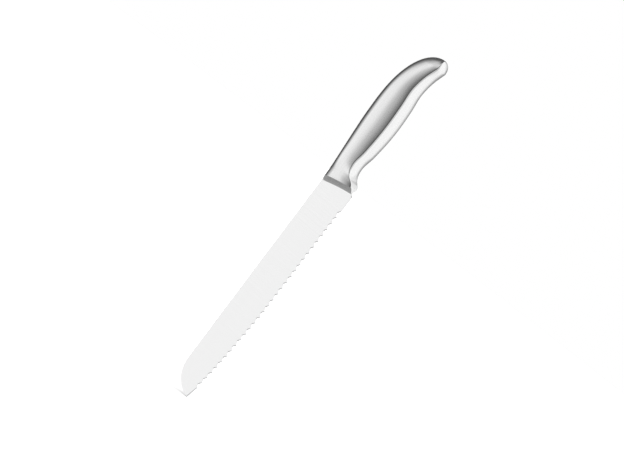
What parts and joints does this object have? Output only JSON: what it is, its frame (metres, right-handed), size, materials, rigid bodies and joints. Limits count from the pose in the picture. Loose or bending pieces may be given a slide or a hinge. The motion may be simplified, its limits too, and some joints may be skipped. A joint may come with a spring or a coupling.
{
  "type": "bread knife",
  "caption": "Steel bread knife: straight scalloped blade with a rounded nose, a short bolster and a welded hollow steel handle with a hooked butt.",
  "frame": {"origin": "on the flat left side of the blade, half way along it, where a magnetic rack holds the knife", "axes": "+Z from the tip to the butt, +X toward the cutting edge, -Y out of the blade's left side"},
  "size_m": [0.0345, 0.0226, 0.3308],
  "materials": {
    "blade_steel": "fine ground, brushed across the blade",
    "bolster_steel": "satin",
    "handle_steel": "satin brushed along the handle, bright on the belly band",
    "weld_steel": "ground flush and brushed with its neighbours",
    "plain_steel": "as sawn",
    "resin": "cast resin"
  },
  "bodies": {
    "root": {"blade": "blade_steel", "bolster": "bolster_steel", "blade_root_weld_left": "weld_steel", "blade_root_weld_right": "weld_steel", "bolster_seam_weld": "weld_steel", "handle_shell_left": "handle_steel", "handle_shell_right": "handle_steel", "spine_seam_weld": "weld_steel", "belly_seam_weld": "weld_steel", "tang_potting": "resin", "balance_weight": "plain_steel", "weight_bedding": "resin"}
  },
  "joints": []
}
